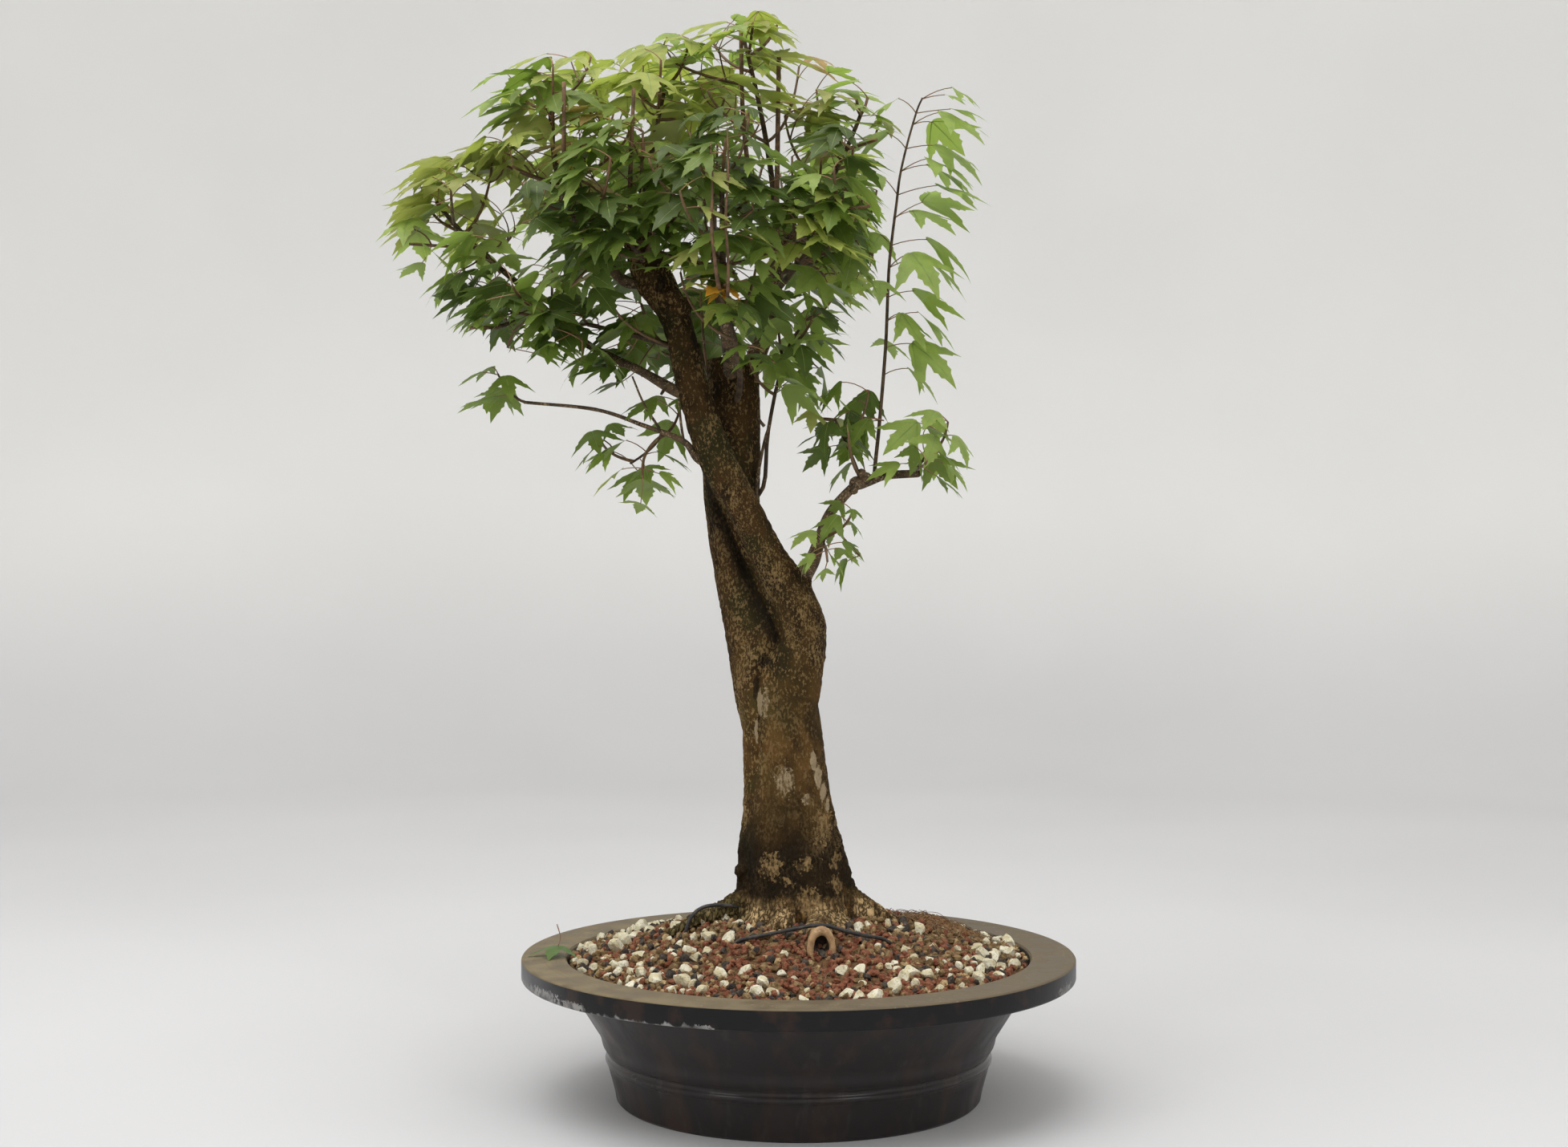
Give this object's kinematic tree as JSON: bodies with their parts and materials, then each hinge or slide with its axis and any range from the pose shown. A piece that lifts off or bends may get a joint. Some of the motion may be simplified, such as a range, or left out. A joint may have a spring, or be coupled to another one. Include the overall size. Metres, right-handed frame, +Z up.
{
  "type": "potted bonsai tree",
  "caption": "Trained trident maple bonsai: a flared trunk, crossing stems and a full leafy crown, rooted in gravelly soil in a round flat-lipped tray pot.",
  "frame": {"origin": "middle of the pot's flat underside", "axes": "+Z up, -Y the tree's front as seen in the picture, +X to the right of that view"},
  "size_m": [0.597, 0.48, 0.9419],
  "materials": {
    "pot": "dark brown-black satin body with a dusty olive-brown matt lip",
    "soil": "loose red and brown lava grit with pale pumice",
    "bark": "rough brown bark with tan flakes",
    "young_bark": "smooth brown young bark",
    "leaf_green": "satin mid green leaf",
    "leaf_deep": "satin deep green leaf",
    "leaf_yellow": "satin yellow-green young leaf",
    "leaf_olive": "satin olive young leaf"
  },
  "bodies": {
    "root": {"back_bough": "young_bark", "back_centre_foliage": "leaf_green", "back_left_bough": "young_bark", "back_left_foliage": "leaf_green", "back_low_foliage": "leaf_deep", "back_right_foliage": "leaf_green", "crown_top_foliage": "leaf_yellow", "cut_root": "bark", "fork_sprout": "leaf_green", "front_bough": "young_bark", "front_centre_foliage": "leaf_deep", "front_left_foliage": "leaf_green", "front_low_foliage": "leaf_deep", "front_right_foliage": "leaf_green", "front_stem": "bark", "leader": "young_bark", "left_bough": "young_bark", "left_hanging_foliage": "leaf_green", "left_low_bough": "young_bark", "left_low_foliage": "leaf_green", "left_spray": "leaf_green", "left_thin_branch": "young_bark", "left_tip_foliage": "leaf_olive", "left_under_foliage": "leaf_deep", "mid_right_foliage": "leaf_green", "pot": "pot", "rear_stem": "bark", "right_branch": "young_bark", "right_low_foliage": "leaf_green", "right_shoot_foliage": "leaf_green", "shoot_foot_left_foliage": "leaf_green", "shoot_foot_right_foliage": "leaf_green", "soil": "soil", "top_centre_foliage": "leaf_yellow", "top_left_foliage": "leaf_olive", "top_right_foliage": "leaf_green", "trunk": "bark"}
  },
  "joints": []
}
